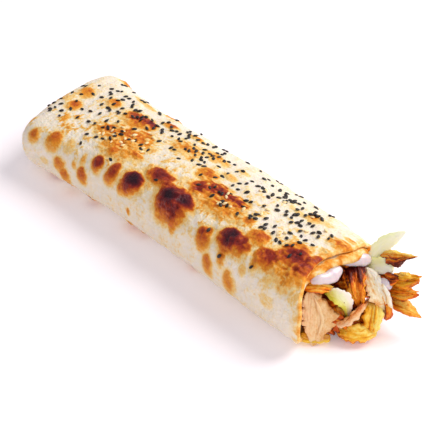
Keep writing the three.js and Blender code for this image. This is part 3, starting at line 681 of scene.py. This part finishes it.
MEAT_COLOURS = {
    "cut": [(0.0, (248, 214, 164)), (0.3, (230, 176, 108)), (0.6, (214, 120, 42)), (1.0, (116, 42, 12))],
    "pale": [(0.0, (255, 246, 228)), (0.3, (250, 224, 174)), (0.55, (238, 160, 60)), (1.0, (136, 48, 10))],
    "pink": [(0.0, (252, 214, 170)), (0.4, (238, 172, 108)), (0.7, (210, 110, 38)), (1.0, (110, 30, 10))],
    "yellow": [(0.0, (255, 228, 120)), (0.3, (250, 184, 36)), (0.6, (234, 130, 6)), (1.0, (136, 42, 2))],
    "gold": [(0.0, (255, 210, 96)), (0.3, (250, 158, 24)), (0.58, (226, 98, 2)), (1.0, (84, 12, 6))],
}


def along_path(path, share):
    """Points and headings on the smooth curve through the path, for shares of its length."""
    knots = np.array(path, float)
    knots = np.vstack([2 * knots[0] - knots[1], knots, 2 * knots[-1] - knots[-2]])
    spot = np.asarray(share) * (len(path) - 1)
    first = np.clip(spot.astype(int), 0, len(path) - 2)
    t = (spot - first)[:, None]
    a, b, c, d = (knots[first + step] for step in range(4))
    straight, curved, cubed = c - a, 2 * a - 5 * b + 4 * c - d, 3 * b - a - 3 * c + d
    points = b + (straight * t + curved * t**2 + cubed * t**3) / 2
    headings = straight + 2 * curved * t + 3 * cubed * t**2
    return points, headings / np.linalg.norm(headings, axis=1)[:, None]


def sides_of(place, heading):
    """The way across a piece's broad side and the way out of it, for each heading."""
    across = np.cross(np.array(place.get("facing", TOWARDS), float), heading)
    across /= np.linalg.norm(across, axis=1)[:, None]
    return across, np.cross(heading, across)


def noise_at(points, layer):
    """Smooth noise at points, in noise marks one unit long."""
    return np.array([noise.noise(Vector(point) + Vector((layer, 0, 0))) for point in points])


# Sizes in mm of the marks across, through and along a piece, and how high or deep each stands.
BUNDLE_MARK, FIBRE_MARK = [2.3, 2.3, 12], [1.0, 1.0, 6]
CRUMB_MARK, TATTER_MARK = [0.7, 0.7, 1.4], [1.5, 1.5, 30]
BUNDLE_HEIGHT, FIBRE_HEIGHT, CRUMB_HEIGHT, CREASE_DEPTH, CREASE_BREADTH = 0.9, 0.7, 0.3, 0.4, 0.07
EVEN_RINGS, THIN_PART, TORN_END_POWER, FRAY_REACH, LOWEST = 0.7, 0.35, 5, 1.6, 0.1


def torn_piece(shape, place, segments=96, rings=88):
    """Adds a closed piece drawn out along a path between two ragged edges, with fibres along it."""
    part = bmesh.new()
    tone_layer = part.verts.layers.float.new("browned_and_painted_light")
    bmesh.ops.create_uvsphere(part, u_segments=segments, v_segments=rings, radius=1)
    ball = np.array([vert.co[:] for vert in part.verts])
    pole_to_pole = np.clip(ball[:, 2], -1, 1)
    even_share = 1 - np.arccos(pole_to_pole) / math.pi
    share = EVEN_RINGS * even_share + (1 - EVEN_RINGS) * (pole_to_pole + 1) / 2
    reach = 2 * share - 1
    turn = np.arctan2(ball[:, 1], ball[:, 0])
    left, right = np.array(place["outline"], float).T
    stations = np.linspace(0, 1, len(left))
    to_left, to_right = np.interp(share, stations, left), np.interp(share, stations, right)
    sideways, upright = np.cos(turn), np.sin(turn)
    half_width = np.where(sideways > 0, to_left, to_right)
    broadness = (to_left + to_right) / (left + right).max()
    half_thick = place["thick"] / 2 * (THIN_PART + (1 - THIN_PART) * broadness)
    boxy, seed, fibre = place.get("boxy", 3), 10 * place["seed"], place.get("fibre", 1.0)
    boxed = (np.abs(sideways) ** boxy + np.abs(upright) ** boxy) ** (-1 / boxy)
    full = (1 - np.abs(reach) ** TORN_END_POWER) ** (1 / TORN_END_POWER)
    centre, heading = along_path(place["path"], share)
    across, outward = sides_of(place, heading)
    length = np.linalg.norm(np.diff(np.array(place["path"], float), axis=0), axis=1).sum()
    side = np.stack([sideways * half_width, upright * half_thick, share * length], axis=1)
    bundles = noise_at(side / BUNDLE_MARK, seed)
    fibres = noise_at(side / FIBRE_MARK, seed + 3)
    crumbs = noise_at(side / CRUMB_MARK, seed + 5)
    creases = np.exp(-((bundles / CREASE_BREADTH) ** 2))
    relief = BUNDLE_HEIGHT * bundles + FIBRE_HEIGHT * fibres + CRUMB_HEIGHT * crumbs
    relief = fibre * (relief - CREASE_DEPTH * creases)
    edge = np.stack([np.sign(sideways) * 3, side[:, 2] / 2.6, 0 * share], axis=1)
    ragged = noise_at(edge, seed + 7) + 0.5 * noise_at(edge * 2.3, seed + 9)
    half_width = half_width * (1 + place.get("ragged", 0.4) * ragged)
    tatters = noise_at(side / TATTER_MARK, seed + 11)
    drift = place.get("fray", 0.0) * FRAY_REACH * tatters * ramp_between(np.abs(reach), 0.4, 0.95)
    wide, high = sideways * (half_width * boxed + relief), upright * (half_thick * boxed + relief)
    spots = centre + across * (wide * full)[:, None] + outward * (high * full)[:, None]
    spots += heading * drift[:, None]
    spots[:, 2] = np.maximum(spots[:, 2], LOWEST)
    facing_out = across * sideways[:, None] + outward * upright[:, None]
    bias, seared_side, amount = place.get("seared", (0.4, (0, 0, -1), 0.2))
    towards = np.array(seared_side, float)
    browned_and_painted_light = bias + amount * facing_out @ (towards / np.linalg.norm(towards))
    browned_and_painted_light += 0.16 * np.abs(sideways) ** 6 + 0.14 * ramp_between(np.abs(reach), 0.8, 1.0)
    # Painted shade and highlight: the creases are darkened where shade falls in them, the raised fibres
    # lightened.
    browned_and_painted_light += fibre * (0.22 * creases - 0.25 * fibres)
    browned_and_painted_light += place.get("charred", 0.0) * (1 - ramp_between(share, 0.34, 0.62))
    for vert, spot, tone in zip(part.verts, spots * MM, browned_and_painted_light):
        vert.co = spot
        vert[tone_layer] = tone
    face_outwards(part)
    add_to(shape, part)


STRANDS, STRAND_SEGMENTS, STRAND_RINGS = 5, 18, 30


def strands_along(place, count, dice):
    """Thin torn strands that lie side by side along a piece, each with its own reach."""
    strands = []
    for _ in range(count):
        shares = np.linspace(dice.uniform(0.1, 0.45), dice.uniform(0.8, 1.05), 4)
        centre, heading = along_path(place["path"], shares)
        across, outward = sides_of(place, heading)
        left, right = np.array(place["outline"], float).T
        stations = np.linspace(0, 1, len(left))
        aside = dice.uniform(-0.95, 0.95)
        reach_aside = aside * np.interp(shares, stations, left if aside > 0 else right)
        above = place["thick"] * dice.uniform(0.2, 0.5)
        path = centre + across * reach_aside[:, None] + outward * above
        bias, seared_side, amount = place["seared"]
        size = dice.uniform(0.7, 1.4)
        strands.append({
            "path": path.tolist(), "facing": place.get("facing", TOWARDS), "seed": dice.uniform(0, 9),
            "outline": [(size * 0.6, size * 0.6), (size, size), (size, size), (0.2, 0.2)],
            "thick": 2 * size, "fray": 0.4, "fibre": 0.35,
            "seared": (bias + dice.uniform(-0.12, 0.3), seared_side, amount),
            "charred": place.get("charred", 0.0),
        })
    return strands


def roast_meat(name, stops, heading):
    """Moist roasted meat, its fibres drawn out along the piece."""
    material, nodes, links, shader = new_material(name, 0.42, subsurface=0.1, spread=0.0025, coat=0.14)
    shader.inputs["Specular IOR Level"].default_value = 0.22
    fibres = grain(nodes, links, 0.8, 4, heading, 6)
    level = with_noise(nodes, links, attribute(nodes, "browned_and_painted_light"), fibres, 0.45)
    level = with_noise(nodes, links, level, grain(nodes, links, 2.6), 0.6)
    level = with_noise(nodes, links, level, grain(nodes, links, 0.7, 5), 0.4)
    links.new(colour_steps(nodes, links, level, stops), shader.inputs["Base Color"])
    raised(nodes, links, shader, fibres, 0.8, 0.8)
    return material


def heading_of(path):
    """The direction from a path's first point to its last."""
    return (Vector(path[-1]) - Vector(path[0])).normalized()


meat_dice = random.Random(3)
for name, place in CHICKEN.items():
    shape = bmesh.new()
    torn_piece(shape, place)
    for strand in strands_along(place, place.get("strands", STRANDS), meat_dice):
        torn_piece(shape, strand, STRAND_SEGMENTS, STRAND_RINGS)
    meat = roast_meat(name + "_meat", MEAT_COLOURS[place["looks"]], heading_of(place["path"]))
    finished_piece(name + "_torn", shape, meat, "chicken", name)

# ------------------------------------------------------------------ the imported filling
# Behind the pieces that stick out, the roll is packed tight with the same chicken, cabbage and
# sauce. Only its end shows, in the gaps: a core with chopped strips pressed into its mouth end.
CORE_BACK, CORE_FRONT = TUCKED_END + 14, TUCKED_END + ROLL_LENGTH - 12
# The core is painted a dark brown, darker than the pieces: partly browned meat, partly painted shade deep in
# the gaps between the pieces.
CORE_END_POWER, CORE_LIFT, CORE_SHADED_BROWN = 10, 3, 0.8
ONE_LAYER, TWO_LAYERS = 3.6, 7.2
CHOPPED_STRIPS, CHOPPED_SIDES, CHOPPED_RINGS = 96, 24, 24

# Longer strips, by their paths: the first six fill the gaps between the pieces that stick out,
# and the last three stand along the inside of the front wall.
GAP_SIDES, GAP_RINGS = 36, 30
FILLED_GAPS = [
    [(102, 4, 24), (110, 9, 25), (117, 12, 25), (120, 12, 20)],
    [(102, -4, 7), (110, -1, 8), (116, 2, 9), (120, 5, 8)],
    [(102, 8, 10), (110, 11, 10.5), (117, 12, 11), (122, 12, 9)],
    [(102, -10, 6), (107, -8, 7), (111, -6, 6), (114, -6, 3.5)],
    [(104, -8, 14), (109, -5, 15), (113, -1, 14), (116, 3, 13)],
    [(100, 6, 15), (107, 8, 16), (113, 8, 15), (117, 9, 12)],
    [(101, -26, 3.5), (103, -28, 12), (103, -28, 21), (99, -25, 32)],
    [(95, -27, 6), (98, -29.5, 14), (98, -29.5, 22), (94, -27, 29)],
    [(94, -20, 4), (98, -22, 14), (98, -22, 24), (94, -19, 34)],
]
packing = bmesh.new()
browned_and_painted_light_layer = packing.verts.layers.float.new("browned_and_painted_light")
bmesh.ops.create_uvsphere(packing, u_segments=64, v_segments=48, radius=1)
for vert in packing.verts:
    reach = max(-1.0, min(1.0, vert.co.z))
    full = (1 - abs(reach) ** CORE_END_POWER) ** (1 / CORE_END_POWER)
    around = math.atan2(vert.co.y, vert.co.x)
    x = np.array([CORE_BACK + (CORE_FRONT - CORE_BACK) * (reach + 1) / 2])
    around_deg = math.degrees(around)
    doubled = ramp_between(around_deg, -50, -30) * (1 - ramp_between(around_deg, 146, 160))
    bread = ONE_LAYER + (TWO_LAYERS - ONE_LAYER) * doubled
    skin = roll_surface(x, np.array([around]), np.array([bread]))[0]
    top = roll_surface(x, np.array([math.pi / 2]), np.array([TWO_LAYERS]))[0][2]
    axis = np.array([x[0], 0, top / 2 + CORE_LIFT])
    vert.co = Vector(axis + (skin - axis) * full) * MM
    vert[browned_and_painted_light_layer] = CORE_SHADED_BROWN
face_outwards(packing)
packing_dice = random.Random(21)
for number in range(CHOPPED_STRIPS):
    low = number % 2 == 0
    reach_x, top = (packing_dice.uniform(93, 109), 17) if low else (packing_dice.uniform(84, 94), 36)
    start = Vector((reach_x, packing_dice.uniform(-13 if low else -24, 17 if low else 27), 0))
    start.z = packing_dice.uniform(2.5, top)
    start.x -= 8 if start.y < -6 and not low else 0
    lean = Vector((packing_dice.uniform(10, 15), packing_dice.gauss(0, 4), packing_dice.gauss(0, 4)))
    size = packing_dice.uniform(1.6, 3.2)
    strip = {
        "path": [start[:], (start + lean / 2)[:], (start + lean)[:]],
        "outline": [(size, size), (size, size), (size * 0.4, size * 0.4)],
        "thick": packing_dice.uniform(3, 5), "seed": packing_dice.uniform(0, 9), "fray": 1.5,
        "fibre": 0.6, "seared": (packing_dice.uniform(0.3, 0.85), (0, 0, -1), 0.2),
    }
    torn_piece(packing, strip, CHOPPED_SIDES, CHOPPED_RINGS)
for number, path in enumerate(FILLED_GAPS):
    strip = {
        "path": path, "outline": [(2, 2), (2.6, 2.6), (2.4, 2.4), (1.2, 1.2)], "thick": 4,
        "seed": number, "fray": 1.2, "fibre": 0.7, "seared": (0.45, (0, 0, -1), 0.3),
    }
    torn_piece(packing, strip, GAP_SIDES, GAP_RINGS)
packing_meat = roast_meat("packed_filling", MEAT_COLOURS["gold"], (1, 0, 0))
finished_piece("filling_packed", packing, packing_meat, "chicken", "filling_core")

# ------------------------------------------------------------------ the cabbage and lettuce
# Shredded white cabbage and a shard of lettuce: crisp, moist leaf, pale green to white, with fine
# ribs along it and thin enough for light to come through.

# The keys are those of the chicken. A leaf isn't seared: here it is how far along its own colours
# it starts, and towards which side they run on.
GREENS = {
    "cabbage_leaf_centre": {
        "path": [(105, -8.5, 27.5), (112, -7, 28), (116, -4, 25), (116.5, -2, 18), (115, -1.5, 11)],
        "outline": [(1.6, 2), (3.9, 4.2), (4.6, 4.6), (1.6, 2.2), (0.8, 0.8)],
        "thick": 2.6, "facing": FRONT, "boxy": 4, "seed": 2, "ragged": 0.3, "fibre": 0.2,
        "seared": (0.3, (-0.3, -0.9, -0.3), 0.55),
    },
    "cabbage_leaf_low": {
        "path": [(101.5, -25, 3.2), (106, -21, 2.8), (110.5, -16, 2.7), (114, -11.5, 2.9)],
        "outline": [(1.4, 1.2), (3.4, 2.6), (3.4, 2.6), (2.4, 1.8)],
        "thick": 5, "seed": 1.9, "ragged": 0.3, "fibre": 0.5,
        "seared": (0.6, (0, 0, 1), 0.3),
    },
    "cabbage_block_top": {
        "path": [(103, 22, 27.5), (110.5, 22, 32), (116.5, 23, 35), (121.5, 25, 36.5)],
        "outline": [(3, 3), (4.2, 4.4), (4.2, 4.6), (3.6, 4.2)],
        "thick": 4, "boxy": 6, "seed": 1.1, "ragged": 0.15, "fibre": 0.25,
        "seared": (0.45, (-1, 0.2, 0.4), 0.45),
    },
    "lettuce_shard_top": {
        "path": [(106.5, 22, 34), (109.5, 27, 40.5), (113.5, 31.5, 46), (117.5, 37, 51)],
        "outline": [(2, 2), (4.2, 3.4), (4.8, 3.6), (3.4, 2.8), (0.8, 1)],
        "thick": 1.4, "boxy": 2.2, "seed": 2.8, "ragged": 0.2, "fibre": 0.2,
        "seared": (0.45, (-1, 0, 0), 0.2),
    },
}
LEAF_COLOURS = {
    "cabbage_leaf_centre": [
        (0.1, (255, 234, 214)), (0.4, (254, 248, 190)), (0.7, (236, 232, 90)), (1.0, (160, 190, 50)),
    ],
    "cabbage_leaf_low": [(0.0, (255, 234, 140)), (0.5, (250, 198, 40)), (1.0, (216, 140, 8))],
    "cabbage_block_top": [
        (0.0, (255, 228, 212)), (0.3, (255, 252, 226)), (0.7, (250, 252, 182)), (1.0, (226, 236, 120)),
    ],
    "lettuce_shard_top": [(0.0, (252, 254, 236)), (0.5, (240, 249, 200)), (1.0, (214, 238, 140))],
}


def crisp_leaf(name, stops, heading):
    """Moist leaf with fine ribs along it."""
    material, nodes, links, shader = new_material(name, 0.34, subsurface=0.6, spread=0.005, coat=0.15)
    shader.inputs["Subsurface Radius"].default_value = (1.0, 1.0, 0.6)
    ribs = grain(nodes, links, 0.8, 2, heading, 12)
    level = with_noise(nodes, links, attribute(nodes, "browned_and_painted_light"), ribs, 0.3)
    level = with_noise(nodes, links, level, grain(nodes, links, 3.0), 0.3)
    links.new(colour_steps(nodes, links, level, stops), shader.inputs["Base Color"])
    raised(nodes, links, shader, ribs, 0.4, 0.35)
    return material


for name, place in GREENS.items():
    shape = bmesh.new()
    torn_piece(shape, place)
    leaf = crisp_leaf(name + "_leaf", LEAF_COLOURS[name], heading_of(place["path"]))
    finished_piece(name + "_cut", shape, leaf, "greens", name)

# ------------------------------------------------------------------ the white sauce
# Thick garlic yoghurt sauce, squeezed over the filling. It sits in rounded, glossy blobs under
# the bread's lip, with a small one on the side.
SAUCE = {
    "sauce_front": {
        "path": [(103, -17, 36.5), (105.4, -12.6, 37.4), (106.4, -6, 36.4), (105.6, 2, 37.8)],
        "outline": [(2, 1.6), (3, 2.6), (3, 3.2), (4.2, 4), (2.6, 2.8)],
        "thick": 6, "boxy": 2, "seed": 3, "ragged": 0.08, "fibre": 0.06,
    },
    "sauce_back": {
        "path": [(103.6, 5.2, 37.8), (105.4, 9.5, 37.6), (107.2, 15.5, 36.9), (107.6, 21.5, 35.2)],
        "outline": [(1, 1), (2.4, 2), (3.2, 2.8), (3.6, 3.6), (2.8, 3)],
        "thick": 5.4, "boxy": 2, "seed": 5, "ragged": 0.08, "fibre": 0.06,
    },
    "sauce_side": {
        "path": [(118.5, 16.5, 30), (123, 17.5, 30), (126.5, 19, 27.5)],
        "outline": [(1, 1), (2.2, 2), (2.4, 2.4), (1.6, 1.4)],
        "thick": 4, "boxy": 2, "seed": 0.9, "ragged": 0.2, "fibre": 0.15,
    },
}


def thick_sauce():
    """Smooth, glossy white sauce that light sinks into, with a faint pink cast."""
    material, nodes, links, shader = new_material("white_sauce", 0.2, subsurface=0.4, spread=0.004, coat=0.4)
    stops = [(0.3, (214, 198, 203)), (0.8, (227, 213, 215))]
    links.new(colour_steps(nodes, links, grain(nodes, links, 2.5), stops), shader.inputs["Base Color"])
    raised(nodes, links, shader, grain(nodes, links, 2.0), 0.2, 0.3)
    return material


SAUCE_SIDES, SAUCE_RINGS = 48, 40
white_sauce = thick_sauce()
for name, place in SAUCE.items():
    shape = bmesh.new()
    torn_piece(shape, place, SAUCE_SIDES, SAUCE_RINGS)
    finished_piece(name + "_blob", shape, white_sauce, "sauce", name)

# ------------------------------------------------------------------ the floor, light and camera
# A white sweep of paper, a bright even sky all round, one large soft lamp high behind the
# right-hand side, which leaves a soft shadow along the near side of the wrap, and a weak one that
# fills the mouth.
FLOOR_REACH, PAPER_GLOW, SKY_STRENGTH = 3.0, 0.17, 0.47
floor_shape = bmesh.new()
bmesh.ops.create_grid(floor_shape, x_segments=8, y_segments=8, size=FLOOR_REACH)
floor_mesh = bpy.data.meshes.new("floor")
floor_shape.to_mesh(floor_mesh)
floor_shape.free()
floor = bpy.data.objects.new("floor", floor_mesh)
bpy.context.scene.collection.objects.link(floor)
paper, paper_nodes, paper_links, paper_shader = new_material("white_paper", 0.9)
paper_stops = [(0.0, (252, 246, 251)), (1.0, (254, 248, 253))]
paper_grain = grain(paper_nodes, paper_links, 40.0)
paper_colour = colour_steps(paper_nodes, paper_links, paper_grain, paper_stops)
paper_links.new(paper_colour, paper_shader.inputs["Base Color"])
paper_shader.inputs["Specular IOR Level"].default_value = 0.1
paper_shader.inputs["Emission Color"].default_value = (0.97, 0.96, 1.0, 1)
paper_shader.inputs["Emission Strength"].default_value = PAPER_GLOW
floor_mesh.materials.append(paper)

world = bpy.data.worlds.new("studio")
world.use_nodes = True
sky = world.node_tree.nodes["Background"]
sky.inputs["Color"].default_value = (0.99, 0.955, 1.0, 1)
sky.inputs["Strength"].default_value = SKY_STRENGTH
bpy.context.scene.world = world


def aimed(thing, spot, target):
    """Puts a lamp or the camera in the scene at a spot, pointed at a target."""
    thing.location = spot
    thing.rotation_mode = "QUATERNION"
    thing.rotation_quaternion = (target - spot).to_track_quat("-Z", "Y")
    bpy.context.scene.collection.objects.link(thing)


SOFT_LAMPS = {
    "softbox": {"size": 0.9, "energy": 13.5, "colour": (1.0, 0.975, 0.94), "at": (0.35, 0.75, 0.95)},
    "fill": {"size": 0.8, "energy": 2.2, "colour": (1.0, 1.0, 1.0), "at": (0.95, -0.3, 0.4)},
}
for name, lamp in SOFT_LAMPS.items():
    light = bpy.data.lights.new(name, "AREA")
    light.shape = "DISK"
    light.size = lamp["size"]
    light.energy = lamp["energy"]
    light.color = lamp["colour"]
    aimed(bpy.data.objects.new(name, light), Vector(lamp["at"]), Vector((0, 0, 0)))

CAMERA_EYE = Vector((641.0, -538.8, 620.0)) * MM
CAMERA_TARGET = Vector((3.2, 9.5, 6.05)) * MM
SENSOR_WIDTH, LENS = 36, 147.6
camera_data = bpy.data.cameras.new("camera")
camera_data.sensor_width = SENSOR_WIDTH
camera_data.lens = LENS
camera = bpy.data.objects.new("camera", camera_data)
aimed(camera, CAMERA_EYE, CAMERA_TARGET)
bpy.context.scene.camera = camera
bpy.context.scene.view_settings.view_transform = "Standard"
